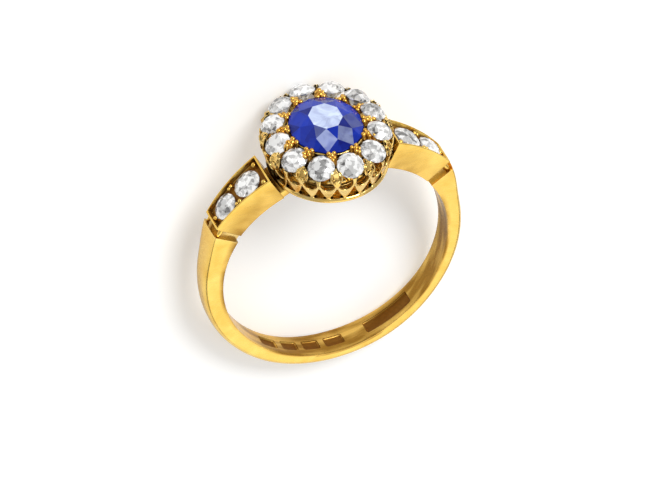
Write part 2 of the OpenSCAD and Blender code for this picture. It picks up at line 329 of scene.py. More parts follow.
def bentRound(corner, narrow=True):
    # X of the flat drawing goes round the finger, and Z is the radius
    angle = math.degrees(corner.x / shoulder["flatRadius"])
    part = (angle - shoulder["from"]) / (shoulder["to"] - shoulder["from"])
    width = shoulder["width"] + (shoulder["lowWidth"] - shoulder["width"]) * part
    return onRing(angle, corner.z, corner.y * (width / shoulder["width"] if narrow else 1))


def makeShoulderBox():
    low, high = flatX(shoulder["from"]), flatX(shoulder["to"])
    top, bore = shoulder["top"], shoulder["bore"]
    bpy.ops.mesh.primitive_cube_add(size=1, location=((low + high) / 2, 0, (top + bore) / 2),
                                    scale=(high - low, shoulder["width"], top - bore))
    box = named("shoulderBox")
    bpy.ops.object.mode_set(mode="EDIT")
    pick(box, lambda c, n: n.z > 0.9)
    bpy.ops.mesh.inset(thickness=shoulder["rim"], depth=0)
    bpy.ops.mesh.extrude_region_move(TRANSFORM_OT_translate={"value": (0, 0, -shoulder["channel"])})
    bpy.ops.object.mode_set(mode="OBJECT")
    useModifier(box, "BEVEL", width=shoulder["softEdge"], segments=3, limit_method="ANGLE")
    sliceAlong(box, low, high, shoulder["lengths"])
    moveEach(box, bentRound)
    seats = []
    for angle, across in shoulder["stones"]:
        deep = stoneSeat["deep"] * across
        bpy.ops.mesh.primitive_cone_add(vertices=48, radius1=stoneSeat["point"],
                                        radius2=across / 2 + stoneSeat["play"], depth=deep)
        seat = named("seat")
        bpy.ops.object.mode_set(mode="EDIT")
        pick(seat, lambda c, n: n.z > 0.9)
        rise = (0, 0, stoneSeat["open"])
        bpy.ops.mesh.extrude_region_move(TRANSFORM_OT_translate={"value": rise})
        bpy.ops.object.mode_set(mode="OBJECT")
        height = shoulder["seat"] - stoneSeat["sink"] - deep / 2
        seat.data.transform(Matrix.Rotation(math.radians(angle), 4, "Y")
                            @ Matrix.Translation((0, 0, height)))
        seats.append(seat)
    cutAway(box, joined(seats, "seats"))
    return box


# Raised grains in a shoulder's channel: degrees, place across, radius, top of the grain
grains = [
    (29.2, 0.98, 0.2, 10.6), (29.2, -0.98, 0.2, 10.62),
    (41.0, -0.86, 0.16, 10.62), (42.6, -0.83, 0.15, 10.6),
    (41.2, 0.86, 0.14, 10.58), (42.5, 0.84, 0.13, 10.56),
    (53.7, 0.02, 0.17, 10.6),
]


# Stalk under a grain, by the grain's radius
stalk = {"long": 1.6, "spread": 1.2}


def makeGrain(place, radius, up):
    # a ball on a short stalk
    bpy.ops.mesh.primitive_uv_sphere_add(segments=18, ring_count=10, radius=radius)
    grain = named("grain")
    bpy.ops.object.mode_set(mode="EDIT")
    pick(grain, lambda c, n: c.z < -0.01 * radius, "VERT")
    bpy.ops.mesh.delete(type="VERT")
    bpy.ops.mesh.select_mode(type="EDGE")
    bpy.ops.mesh.select_all(action="DESELECT")
    bpy.ops.mesh.select_non_manifold()
    down = (0, 0, -radius * stalk["long"])
    bpy.ops.mesh.extrude_edges_move(TRANSFORM_OT_translate={"value": down})
    bpy.ops.transform.resize(value=(stalk["spread"], stalk["spread"], 1))
    bpy.ops.mesh.fill_holes(sides=0)
    bpy.ops.object.mode_set(mode="OBJECT")
    turn = up.to_track_quat("Z", "Y").to_matrix().to_4x4()
    grain.data.transform(Matrix.Translation(place) @ turn)
    return grain


def makeShoulderGrains():
    made = []
    for angle, across, radius, top in grains:
        made.append(makeGrain(onRing(angle, top - radius, across), radius, onRing(angle, 1, 0)))
    return made


# Bars bent round the finger: where the shoulder meets the shank and the head
bars = {
    "grooveFloor": {"from": 54.9, "to": 59.2, "width": 1.57, "low": 8.5, "high": 9.85, "soft": 0},
    "root": {"from": 21.5, "to": 27.8, "width": 2.92, "low": 8.5, "high": 9.12, "soft": 0.12},
}
# Rounded nub on each side of the groove
nub = {"angle": 56.4, "across": 0.9, "radius": 10.16, "size": (0.44, 0.15, 0.17)}


def makeBar(name):
    bar = bars[name]
    first, last = flatX(bar["from"]), flatX(bar["to"])
    middle = ((first + last) / 2, 0, (bar["low"] + bar["high"]) / 2)
    bpy.ops.mesh.primitive_cube_add(size=1, location=middle,
                                    scale=(last - first, bar["width"], bar["high"] - bar["low"]))
    piece = named(name)
    if bar["soft"]:
        useModifier(piece, "BEVEL", width=bar["soft"], segments=3, limit_method="ANGLE")
    sliceAlong(piece, first, last, 6)
    moveEach(piece, lambda c: bentRound(c, narrow=False))
    return piece


def makeNub(side):
    bpy.ops.mesh.primitive_uv_sphere_add(segments=24, ring_count=14, radius=1, scale=nub["size"])
    piece = named("nub")
    piece.data.transform(Matrix.Rotation(math.radians(nub["angle"]), 4, "Y")
                         @ Matrix.Translation((0, side * nub["across"], nub["radius"])))
    return piece


def makeShoulder():
    parts = [makeShoulderBox(), makeBar("grooveFloor"), makeBar("root"), makeNub(-1), makeNub(1)]
    piece = joined(parts + makeShoulderGrains(), "shoulder_right")
    cleanUp(piece, 40)
    return piece


# Head, drawn round and then pressed oval. Profile: height over the hole's centre, radius
head = {
    "oval": 1.1,
    "profile": [(8.52, 4.14), (8.56, 4.19), (8.62, 4.225), (8.7, 4.235), (8.78, 4.22),
                (8.84, 4.17), (8.88, 4.13), (8.98, 4.15), (9.5, 4.3), (9.9, 4.43), (10.35, 4.55),
                (10.6, 4.59), (10.84, 4.6)],
    "wall": 0.34,
    "crossing": 10.35,
    "voxel": 0.046,
    "softening": 2,
}

# Border stones: degrees round the head from the right shoulder's side, counter-clockwise
border = [2.6, 29.6, 58.6, 91, 122.6, 151.2, 180.2, 208.9, 239.4, 271.2, 303.8, 334.5]
between = [(a + b) / 2 for a, b in zip(border, border[1:] + [border[0] + 360])]
posts = sorted(border + between)
usualSpacing = 15


def about(angle):
    # a turn round the axis of the head
    return Matrix.Rotation(math.radians(angle), 4, "Z")


def makeGalleryWall():
    low, high = head["profile"][0][0], head["profile"][-1][0]
    bpy.ops.mesh.primitive_cylinder_add(vertices=168, radius=1, depth=high - low,
                                        end_fill_type="NOTHING", location=(0, 0, (low + high) / 2))
    wall = named("galleryWall")
    sliceUp(wall, [(0, 0, z) for z, _ in head["profile"][1:-1]], (0, 0, 1))
    radii = {round(z, 2): r for z, r in head["profile"]}

    def flare(corner):
        radius = radii[round(corner.z, 2)]
        return Vector((corner.x * radius, corner.y * radius, corner.z))

    moveEach(wall, flare)
    useModifier(wall, "SOLIDIFY", thickness=head["wall"], offset=-1)
    return wall


def makePunch(name, outline, near, far=5.0):
    # a flat outline of (across, height) points, pushed out through the wall
    bpy.ops.mesh.primitive_circle_add(vertices=len(outline), radius=1, fill_type="NGON")
    punch = named(name)
    for vertex, (across, height) in zip(punch.data.vertices, outline):
        vertex.co = (near, across, height)
    bpy.ops.object.mode_set(mode="EDIT")
    bpy.ops.mesh.select_all(action="SELECT")
    bpy.ops.mesh.extrude_region_move(TRANSFORM_OT_translate={"value": (far - near, 0, 0)})
    bpy.ops.mesh.select_all(action="SELECT")
    bpy.ops.mesh.normals_make_consistent(inside=False)
    bpy.ops.object.mode_set(mode="OBJECT")
    return punch


# Openings of the arcade, drawn for posts that stand at the usual spacing
triangle = {"low": 8.88, "apex": 10.14, "half": 0.455, "bow": 0.05, "near": 3.68}
almond = {"low": 9.82, "high": 11.4, "half": 0.475, "widest": 10.42, "near": 3.86}


def triangleOutline():
    rise = triangle["apex"] - triangle["low"]
    side = []
    for k in range(1, 6):
        part = k / 6
        across = triangle["half"] * (1 - part) - triangle["bow"] * math.sin(math.pi * part)
        side.append((across, triangle["low"] + rise * part))
    left = [(-x, z) for x, z in reversed(side)]
    corners = [(-triangle["half"], triangle["low"]), (triangle["half"], triangle["low"])]
    return corners + side + [(0, triangle["apex"])] + left


def almondOutline():
    points = []
    for k in range(28):
        turn = 2 * math.pi * k / 28
        rise = math.sin(turn)
        end = almond["high"] if rise > 0 else almond["low"]
        across = almond["half"] * math.cos(turn)
        points.append((across, almond["widest"] + abs(rise) * (end - almond["widest"])))
    return points


def pierceGallery(wall):
    low = makePunch("triangle", triangleOutline(), triangle["near"])
    high = makePunch("almond", almondOutline(), almond["near"])
    punches = []
    following = posts[1:] + [posts[0] + 360]
    spacing = [after - angle for angle, after in zip(posts, following)]
    for k, (angle, after) in enumerate(zip(posts, following)):
        # a triangle is as wide as the nearer neighbour allows, and spacing[-1] closes the round
        narrow = Matrix.Diagonal((1, min(spacing[k], spacing[k - 1]) / usualSpacing, 1, 1))
        spread = Matrix.Diagonal((1, spacing[k] / usualSpacing, 1, 1))
        punches.append(copyOf(low, "punch", about(angle) @ narrow))
        punches.append(copyOf(high, "punch", about((angle + after) / 2) @ spread))
    bpy.data.objects.remove(low)
    bpy.data.objects.remove(high)
    cutAway(wall, joined(punches, "punches"))


# Outer claws. Rows: height above the crossing, outer radius, half width, depth of the hollow
claw = {
    "rows": [(-0.34, 4.44, 0.08, 0.0), (-0.14, 4.53, 0.12, 0.0), (0.02, 4.6, 0.2, 0.04),
             (0.2, 4.65, 0.29, 0.14), (0.4, 4.67, 0.37, 0.24), (0.6, 4.66, 0.4, 0.28),
             (0.78, 4.62, 0.38, 0.26), (0.92, 4.55, 0.31, 0.2), (1.05, 4.45, 0.22, 0.12),
             (1.16, 4.32, 0.13, 0.06), (1.24, 4.18, 0.06, 0.03), (1.27, 4.08, 0.03, 0.0)],
    "columns": 16,
    "thick": 0.22,
    "ridge": 0.84, "ridgeWidth": 0.14,
    "lip": 0.16, "lipFall": 0.04,
}


def makeClaw():
    rows, columns = claw["rows"], claw["columns"]
    bpy.ops.mesh.primitive_grid_add(x_subdivisions=columns, y_subdivisions=len(rows) - 1, size=2)
    kite = named("claw")

    def place(corner):
        height, radius, half, hollow = rows[round((corner.y + 1) / 2 * (len(rows) - 1))]
        # hollow in the middle, raised along the ridge and falling away outside it
        beyond = abs(corner.x) - claw["ridge"]
        if beyond < 0:
            back = hollow * (1 - math.exp(-(beyond / claw["ridgeWidth"]) ** 2))
        else:
            back = claw["lipFall"] * beyond / claw["lip"]
        return Vector((radius - back, corner.x * half, head["crossing"] + height))

    moveEach(kite, place)
    if kite.data.polygons[0].normal.x < 0:
        only(kite)
        bpy.ops.object.mode_set(mode="EDIT")
        bpy.ops.mesh.select_all(action="SELECT")
        bpy.ops.mesh.flip_normals()
        bpy.ops.object.mode_set(mode="OBJECT")
    useModifier(kite, "SOLIDIFY", thickness=claw["thick"], offset=-1)
    useModifier(kite, "SUBSURF", levels=1, render_levels=1)
    return kite


# Middle of the head: the collet under the sapphire, the plate under the diamonds and the base
middle = {
    "sapphire": (2.525, 3.0),
    "tubes": [(0.24, 0.5, 8.62, 11.36), (0.1, 0.25, 11.16, 11.62)],
    "plate": {"low": 10.19, "high": 10.44, "radius": 4.12},
    "base": {"low": 8.56, "high": 8.84, "radius": 3.85},
    "holes": {"radius": 0.52, "ring": (3.5, 4.19)},
    "ledge": 0.28,
}


def ovalTube(more, wall, low, high):
    # an oval tube that follows the sapphire, wider all round by more
    wide, long = middle["sapphire"]
    size = (wide + more, (long + more) / head["oval"], 1)
    bpy.ops.mesh.primitive_cylinder_add(vertices=96, radius=1, depth=high - low, scale=size,
                                        end_fill_type="NOTHING", location=(0, 0, (low + high) / 2))
    tube = named("tube")
    useModifier(tube, "SOLIDIFY", thickness=wall, offset=-1)
    return tube


def openPlate(name, openings):
    # a disc that is open under the sapphire, with a hole at each angle in openings
    plate = middle[name]
    deep = plate["high"] - plate["low"]
    centre = (plate["high"] + plate["low"]) / 2
    bpy.ops.mesh.primitive_cylinder_add(vertices=96, radius=plate["radius"], depth=deep,
                                        location=(0, 0, centre))
    piece = named(name)
    halfWide, halfLong = (half - middle["ledge"] for half in middle["sapphire"])
    bpy.ops.mesh.primitive_cylinder_add(vertices=96, radius=1, depth=1, location=(0, 0, centre),
                                        scale=(halfWide, halfLong / head["oval"], 1))
    cutAway(piece, named("middleHole"))
    holes = []
    for angle in openings:
        wide, long = middle["holes"]["ring"]
        turn = math.radians(angle)
        where = (wide * math.cos(turn), long / head["oval"] * math.sin(turn), centre)
        bpy.ops.mesh.primitive_cylinder_add(vertices=32, radius=middle["holes"]["radius"],
                                            depth=1, location=where)
        holes.append(named("hole"))
    if holes:
        cutAway(piece, joined(holes, "holes"))
    return piece


def makeGallery():
    wall = makeGalleryWall()
    pierceGallery(wall)
    kite = makeClaw()
    parts = [wall] + [copyOf(kite, "claw", about(angle)) for angle in between]
    bpy.data.objects.remove(kite)
    parts += [ovalTube(*row) for row in middle["tubes"]]
    parts += [openPlate("plate", border), openPlate("base", [])]
    piece = joined(parts, "gallery")
    cleanUp(piece)
    useModifier(piece, "REMESH", mode="VOXEL", voxel_size=head["voxel"])
    useModifier(piece, "SMOOTH", factor=0.5, iterations=head["softening"])
    moveEach(piece, lambda c: Vector((c.x, c.y * head["oval"], c.z)))
    only(piece)
    bpy.ops.object.shade_smooth()
    return piece


# Beaded grains between the sapphire and each pair of diamonds: out from the oval, across, size
beads = {
    "places": [(0.1, -0.2, 0.19), (0.09, 0.2, 0.18), (0.32, 0.0, 0.23), (0.5, -0.17, 0.18),
               (0.54, 0.16, 0.19), (0.76, 0.02, 0.18)],
    "height": 11.84, "sink": 0.1, "fall": 0.1,
    "least": 0.92, "spread": 0.16, "change": 2.4,
}


def makeBeads():
    bunch = []
    wide, long = middle["sapphire"]
    models = [makeGrain(Vector((out, across, -beads["fall"] * out)), size, Vector((0, 0, 1)))
              for out, across, size in beads["places"]]
    model = joined(models, "bunch")
    for number, angle in enumerate(between):
        turn = math.radians(angle)
        edge = 1 / math.hypot(math.cos(turn) / wide, math.sin(turn) / long)
        away = Matrix.Translation((edge, 0, beads["height"] - beads["sink"]))
        # each bunch differs a little in size, and every second one is mirrored
        uneven = beads["least"] + beads["spread"] * math.sin(beads["change"] * number) ** 2
        side = -1 if number % 2 else 1
        shape = Matrix.Diagonal((uneven, side * uneven, 1, 1))
        bunch.append(copyOf(model, "bunch", about(angle) @ away @ shape))
    bpy.data.objects.remove(model)
    piece = joined(bunch, "inner_grains")
    cleanUp(piece, 60)
    return piece


def layDown(piece):
    # from millimetres as worn to metres as the ring lies
    turn = Matrix.Rotation(math.radians(lying["lean"] - 90), 4, "X")
    piece.data.transform(Matrix.Scale(0.001, 4) @ Matrix.Translation(lying["centre"]) @ turn)
    piece.data.update()
    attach(piece, "root")
    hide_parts("mount")
    return piece


# Old dirt and painted shade, darkest where the metal is hemmed in
grimeAndShade = {"rays": 22, "quickRays": 8, "reach": 0.0011, "stand": 0.00002}


def hemisphere(count):
    # directions over one half of a ball, thicker towards the middle
    golden = math.pi * (3 - math.sqrt(5))
    found = []
    for k in range(count):
        out = math.sqrt((k + 0.5) / count)
        found.append(Vector((out * math.cos(golden * k), out * math.sin(golden * k),
                             math.sqrt(1 - out * out))))
    return found


def giveValues(piece, name, values):
    # one number for each vertex, which the materials read by its name
    marked = piece.data.attributes.new(name, "FLOAT", "POINT")
    marked.data.foreach_set("value", values)


# A struck recess: from which part of its depth on, and how far to each side of the middle
struckTest = {"part": 0.6, "half": 0.7, "play": 0.01}


def markLining(piece):
    # the face towards the finger, darker with painted shade and painted streaks of reflection: 1,
    # or 2 in a struck recess, and 0 elsewhere; read before the ring is laid down
    bore = shank["boreRadius"]
    found = []
    for vertex in piece.data.vertices:
        depth = math.hypot(vertex.co.x, vertex.co.z) - bore
        inside = vertex.normal.x * vertex.co.x + vertex.normal.z * vertex.co.z < 0
        deep = depth > struckTest["part"] * marks["depth"]
        struck = deep and abs(vertex.co.y) < struckTest["half"]
        lined = inside and depth < marks["depth"] + struckTest["play"]
        found.append((2.0 if struck else 1.0) if lined else 0.0)
    giveValues(piece, "lining", found)


def markGrimeAndShade(pieces, stones):
    # each vertex learns how hemmed in it is, from 0 in the open to 1 deep in a recess, for dirt and
    # painted shade
    corners, faces = [], []
    for piece in pieces + stones:
        first = len(corners)
        corners.extend(vertex.co.copy() for vertex in piece.data.vertices)
        faces.extend(tuple(first + i for i in face.vertices) for face in piece.data.polygons)
    walls = BVHTree.FromPolygons(corners, faces)
    directions = hemisphere(grimeAndShade["rays"])
    for piece in pieces:
        found = []
        for vertex in piece.data.vertices:
            turn = vertex.normal.to_track_quat("Z", "Y")
            start = vertex.co + vertex.normal * grimeAndShade["stand"]
            hits = 0
            for direction in directions:
                place, _, _, distance = walls.ray_cast(start, turn @ direction, grimeAndShade["reach"])
                if place:
                    hits += 1 - distance / grimeAndShade["reach"]
            found.append(hits / len(directions))
        giveValues(piece, "grimeAndShade", found)


def markEdges(piece):
    # worn edges come out lighter, wear with a painted highlight: how much each vertex stands above
    # the ones next to it
    count = len(piece.data.vertices)
    stands, near = [0.0] * count, [0] * count
    for edge in piece.data.edges:
        first, second = (piece.data.vertices[i] for i in edge.vertices)
        along = (second.co - first.co).normalized()
        for vertex, way in ((first, -1), (second, 1)):
            stands[vertex.index] += way * along.dot(vertex.normal)
            near[vertex.index] += 1
    giveValues(piece, "edge", [rise / max(1, beside) for rise, beside in zip(stands, near)])


# Finishes
def addNode(tree, kind, links=None, **settings):
    # settings are the node's own properties, or else the values of its inputs
    node = tree.nodes.new("ShaderNode" + kind)
    for key, value in settings.items():
        if hasattr(node, key):
            setattr(node, key, value)
        else:
            node.inputs[key].default_value = value
    for key, source in (links or {}).items():
        tree.links.new(source, node.inputs[key])
    return node


def ramp(tree, source, low, high, toLow=0.0, toHigh=1.0):
    # the part of a value between low and high, as a number between the other two
    node = addNode(tree, "MapRange", {"Value": source})
    for name, value in (("From Min", low), ("From Max", high), ("To Min", toLow),
                        ("To Max", toHigh)):
        node.inputs[name].default_value = value
    return node.outputs["Result"]


def blend(tree, amount, first, second):
    # from the first colour to the second, each of them a socket or three numbers
    node = addNode(tree, "Mix", {0: amount}, data_type="RGBA")
    for socket, value in ((node.inputs[6], first), (node.inputs[7], second)):
        if hasattr(value, "links"):
            tree.links.new(value, socket)
        else:
            socket.default_value = (*value, 1)
    return node.outputs[2]


def timesPlus(tree, value, factor, plus):
    # a value times a number, plus another value
    node = addNode(tree, "Math", {0: value, 2: plus}, operation="MULTIPLY_ADD")
    node.inputs[1].default_value = factor
    return node.outputs["Value"]


# Wear: how the scratches are turned and drawn out, the pits' edge, and each kind's share of height
wearLook = {"turn": (0.5, 0.9, 0.3), "stretch": (1, 9, 3), "pitEdge": (0.08, 0.3),
            "mottle": 0.55, "scratches": 0.3, "pits": 0.15}


def wearGroup():
    # hand wear on metal: broad mottling, fine scratches and small pits
    group = bpy.data.node_groups.new("handWear", "ShaderNodeTree")
    for name, kind in (("Place", "NodeSocketVector"), ("Mottle Scale", "NodeSocketFloat"),
                       ("Scratch Scale", "NodeSocketFloat"), ("Pit Scale", "NodeSocketFloat")):
        group.interface.new_socket(name=name, in_out="INPUT", socket_type=kind)
    for name in ("Mottle", "Scratches", "Pits", "Height"):
        group.interface.new_socket(name=name, in_out="OUTPUT", socket_type="NodeSocketFloat")
    given = group.nodes.new("NodeGroupInput")
    out = group.nodes.new("NodeGroupOutput")
    broad = addNode(group, "TexNoise", {"Vector": given.outputs["Place"],
                                        "Scale": given.outputs["Mottle Scale"]},
                    Detail=5.0, Roughness=0.6, Distortion=0.4)
    stretch = addNode(group, "Mapping", {"Vector": given.outputs["Place"]})
    stretch.inputs["Rotation"].default_value = wearLook["turn"]
    stretch.inputs["Scale"].default_value = wearLook["stretch"]
    lines = addNode(group, "TexNoise", {"Vector": stretch.outputs["Vector"],
                                        "Scale": given.outputs["Scratch Scale"]},
                    Detail=3.0, Roughness=0.55)
    cells = addNode(group, "TexVoronoi", {"Vector": given.outputs["Place"],
                                          "Scale": given.outputs["Pit Scale"]})
    pits = ramp(group, cells.outputs["Distance"], *wearLook["pitEdge"])
    low = addNode(group, "Math", {0: broad.outputs["Fac"]}, operation="MULTIPLY")
    low.inputs[1].default_value = wearLook["mottle"]
    fine = timesPlus(group, lines.outputs["Fac"], wearLook["scratches"], low.outputs["Value"])
    total = timesPlus(group, pits, wearLook["pits"], fine)
    group.links.new(broad.outputs["Fac"], out.inputs["Mottle"])
    group.links.new(lines.outputs["Fac"], out.inputs["Scratches"])
    group.links.new(pits, out.inputs["Pits"])
    group.links.new(total, out.inputs["Height"])
    return group


handWear = wearGroup()


def freshMaterial(name):
    # a new material, its nodes, its surface, and its place in millimetres
    material = bpy.data.materials.new(name)
    material.use_nodes = True
    tree = material.node_tree
    tree.nodes.clear()
    surface = addNode(tree, "BsdfPrincipled")
    out = addNode(tree, "OutputMaterial")
    tree.links.new(surface.outputs["BSDF"], out.inputs["Surface"])
    place = addNode(tree, "TexCoord").outputs["Object"]
    inMillimetres = addNode(tree, "Mapping", {"Vector": place})
    inMillimetres.inputs["Scale"].default_value = (1000, 1000, 1000)
    return material, tree, surface, inMillimetres.outputs["Vector"]


# What all the gold shares: where its noises run from low to high, how a struck recess darkens,
# how much rougher the dirty and shaded places are, and the colour of worn edges with their painted
# highlight
allGold = {
    "mottleRange": (0.35, 0.65), "scratchRange": (0.3, 0.7), "struck": (1.1, 1.9, 0.0, 0.92),
    "dirtAndShadeRough": 0.35, "bumpDistance": 0.00001, "rubAndHighlight": (1.0, 0.8, 0.36),
}
# Only the worn gold of the hoop and shoulders has a lining, the face towards the finger, with
# painted shade and painted reflections
goldLook = {
    # each dirt colour stands for old dirt and painted shade in the hollows
    "worn": {
        "bright": (0.98, 0.68, 0.17), "deep": (0.86, 0.53, 0.1), "dirtAndShade": (0.22, 0.085, 0.012),
        "lining": (0.88, 0.56, 0.13), "liningReflectionDark": (0.36, 0.18, 0.025),
        "rough": (0.12, 0.32), "bump": 0.5, "mottle": 0.45, "scratch": 1.4, "pit": 1.6,
        "dirtAndShadeRange": (0.26, 0.56), "rubbedAndHighlit": (0.14, 0.4, 0.0, 0.5),
    },
    "pierced": {
        "bright": (1.0, 0.73, 0.27), "deep": (0.92, 0.58, 0.14), "dirtAndShade": (0.026, 0.008, 0.001),
        "rough": (0.12, 0.24), "bump": 0.15, "mottle": 1.0, "scratch": 2.5, "pit": 3.0,
        "dirtAndShadeRange": (0.15, 0.31), "rubbedAndHighlit": (0.11, 0.3, 0.0, 0.8),
    },
    "grains": {
        "bright": (0.98, 0.6, 0.14), "deep": (0.6, 0.27, 0.03), "dirtAndShade": (0.26, 0.1, 0.012),
        "rough": (0.12, 0.26), "bump": 0.25, "mottle": 3.0, "scratch": 2.5, "pit": 3.0,
        "dirtAndShadeRange": (0.3, 0.7), "rubbedAndHighlit": (0.5, 0.9, 0.0, 0.2),
    },
}
# Painted reflections drawn out along the hoop: finer across its width than along it
reflectionStreaks = {"across": 1.3, "along": 0.22, "from": 0.4, "to": 0.62}


def paintedRingReflections(tree, place):
    stretch = addNode(tree, "Mapping", {"Vector": place})
    stretch.inputs["Rotation"].default_value = (math.radians(-lying["lean"]), 0, 0)
    stretch.inputs["Scale"].default_value = (reflectionStreaks["along"], reflectionStreaks["along"], reflectionStreaks["across"])
    noise = addNode(tree, "TexNoise", {"Vector": stretch.outputs["Vector"]}, Detail=3.0)
    noise.inputs["Scale"].default_value = 1.0
    return ramp(tree, noise.outputs["Fac"], reflectionStreaks["from"], reflectionStreaks["to"])


def makeGold(name):
    look = goldLook[name]
    material, tree, surface, place = freshMaterial("gold_" + name)
    wear = tree.nodes.new("ShaderNodeGroup")
    wear.node_tree = handWear
    tree.links.new(place, wear.inputs["Place"])
    wear.inputs["Mottle Scale"].default_value = look["mottle"]
    wear.inputs["Scratch Scale"].default_value = look["scratch"]
    wear.inputs["Pit Scale"].default_value = look["pit"]
    hemmed = addNode(tree, "Attribute", attribute_name="grimeAndShade").outputs["Fac"]
    mottle = ramp(tree, wear.outputs["Mottle"], *allGold["mottleRange"])
    clean = blend(tree, mottle, look["deep"], look["bright"])
    # dirt and painted shade, darker where the metal is hemmed in
    dirtAndShadeAmount = ramp(tree, hemmed, *look["dirtAndShadeRange"])
    if "lining" in look:
        lining = addNode(tree, "Attribute", attribute_name="lining").outputs["Fac"]
        # painted streaks of reflection and painted shade on the face towards the finger
        inside = blend(tree, paintedRingReflections(tree, place), look["liningReflectionDark"], look["lining"])
        clean = blend(tree, ramp(tree, lining, 0, 1), clean, inside)
        struck = ramp(tree, lining, *allGold["struck"])
        darker = addNode(tree, "Math", {0: dirtAndShadeAmount, 1: struck}, operation="MAXIMUM")
        dirtAndShadeAmount = darker.outputs["Value"]
    edge = addNode(tree, "Attribute", attribute_name="edge").outputs["Fac"]
    # worn edges lightened: wear and a painted highlight
    rubbedAndHighlit = ramp(tree, edge, *look["rubbedAndHighlit"])
    soiledAndShaded = blend(tree, dirtAndShadeAmount, clean, look["dirtAndShade"])
    colour = blend(tree, rubbedAndHighlit, soiledAndShaded, allGold["rubAndHighlight"])
    tree.links.new(colour, surface.inputs["Base Color"])
    rough = ramp(tree, wear.outputs["Scratches"], *allGold["scratchRange"], *look["rough"])
    rougher = timesPlus(tree, dirtAndShadeAmount, allGold["dirtAndShadeRough"], rough)
    tree.links.new(rougher, surface.inputs["Roughness"])
    surface.inputs["Metallic"].default_value = 1.0
    bump = addNode(tree, "Bump", {"Height": wear.outputs["Height"]})
    bump.inputs["Strength"].default_value = look["bump"]
    bump.inputs["Distance"].default_value = allGold["bumpDistance"]
    tree.links.new(bump.outputs["Normal"], surface.inputs["Normal"])
    return material


# Stones: the colours of painted light and shade that the facets run between, the two patterns of
# painted sparkle and how clear the stone is
stoneLook = {
    "diamond": {"white": (1.0, 1.0, 0.99), "grey": (0.05, 0.047, 0.043), "from": 0.4, "to": 0.56,
                "facets": 7.5, "clear": 0.45, "ior": 2.42, "level": 0.5, "rough": (0.0, 0.03),
                "paintedGlow": 0.2, "sparkle": 0.5, "cells": 3.9, "glint": (0.25, 0.55)},
    "sapphire": {"white": (0.01, 0.04, 0.46), "grey": (0.001, 0.005, 0.13), "from": 0.35,
                 "to": 0.65, "facets": 3.5, "clear": 0.2, "ior": 1.6, "level": 0.1,
                 "rough": (0.02, 0.06), "paintedGlow": 0.2, "sparkle": 0.3, "cells": 1.5,
                 "glint": (0.0, 1.0)},
}
# Facets of the sapphire with a painted pale reflection: turn round the head, slope off its axis,
# how pale
paintedPaleFacets = [(0, 0, 1.0), (244, 26, 0.44), (296, 26, 0.3), (220, 20, 0.12), (341, 29, 0.1)]
paleReflectionBlue = (0.7, 0.8, 1.0)
# How squarely a facet must face its direction to get its painted shine, and the painted reflections
# that cross it
paleEdge = (0.9965, 0.9985)
crossingReflections = {"scale": 0.8, "range": (0.36, 0.6, 0.6, 1.0)}
haze = {"scale": 1.6, "range": (0.4, 0.7)}


def headDirection(turn, slope):
    # a direction on the head as worn, turned as the ring lies
    flat = Vector((math.sin(math.radians(slope)) * math.cos(math.radians(turn)),
                   math.sin(math.radians(slope)) * math.sin(math.radians(turn)),
                   math.cos(math.radians(slope))))
    return Matrix.Rotation(math.radians(lying["lean"] - 90), 3, "X") @ flat


def paintPaleReflections(tree, place, facing, colour):
    # thin painted reflections inside the stone cross the painted pale facets
    rays = addNode(tree, "TexNoise", {"Vector": place}, Detail=3.0, Distortion=1.2)
    rays.inputs["Scale"].default_value = crossingReflections["scale"]
    thin = ramp(tree, rays.outputs["Fac"], *crossingReflections["range"])
    for turn, slope, pale in paintedPaleFacets:
        along = addNode(tree, "VectorMath", {0: facing}, operation="DOT_PRODUCT")
        along.inputs[1].default_value = headDirection(turn, slope)
        shine = ramp(tree, along.outputs["Value"], *paleEdge, 0.0, pale)
        paleReflectionShare = addNode(tree, "Math", {0: shine, 1: thin}, operation="MULTIPLY")
        colour = blend(tree, paleReflectionShare.outputs["Value"], colour, paleReflectionBlue)
    return colour


def makeStone(name):
    look = stoneLook[name]
    material, tree, surface, place = freshMaterial(name)
    facing = addNode(tree, "TexCoord").outputs["Normal"]
    facet = addNode(tree, "TexNoise", {"Vector": facing}, Detail=0.0)
    facet.inputs["Scale"].default_value = look["facets"]
    amount = ramp(tree, facet.outputs["Fac"], look["from"], look["to"])
    # painted glints: smaller facets of the back, seen through the front
    small = addNode(tree, "TexVoronoi", {"Vector": place})
    small.inputs["Scale"].default_value = look["cells"]
    glint = addNode(tree, "SeparateColor", {"Color": small.outputs["Color"]})
    crisp = ramp(tree, glint.outputs["Red"], *look["glint"])
    mixed = addNode(tree, "Mix", {"A": amount, "B": crisp}, data_type="FLOAT")
    mixed.inputs["Factor"].default_value = look["sparkle"]
    colour = blend(tree, mixed.outputs["Result"], look["grey"], look["white"])
    if name == "sapphire":
        colour = paintPaleReflections(tree, place, facing, colour)
    tree.links.new(colour, surface.inputs["Base Color"])
    # a painted glow, for light that the facets throw back
    tree.links.new(colour, surface.inputs["Emission Color"])
    surface.inputs["Emission Strength"].default_value = look["paintedGlow"]
    cloud = addNode(tree, "TexNoise", {"Vector": place}, Detail=3.0)
    cloud.inputs["Scale"].default_value = haze["scale"]
    tree.links.new(ramp(tree, cloud.outputs["Fac"], *haze["range"], *look["rough"]),
                   surface.inputs["Roughness"])
    surface.inputs["Transmission Weight"].default_value = look["clear"]
    surface.inputs["IOR"].default_value = look["ior"]
    surface.inputs["Specular IOR Level"].default_value = look["level"]
    surface.inputs["Metallic"].default_value = 0.0
    return material


# Pale table, just under the ring; the glow is only what the camera sees
floorLook = {
    "size": 3.0, "below": 0.00001, "colour": (0.93, 0.93, 0.92), "shade": 0.985, "grain": 0.02,
    "rough": 0.7, "level": 0.1, "glow": 0.18,
}


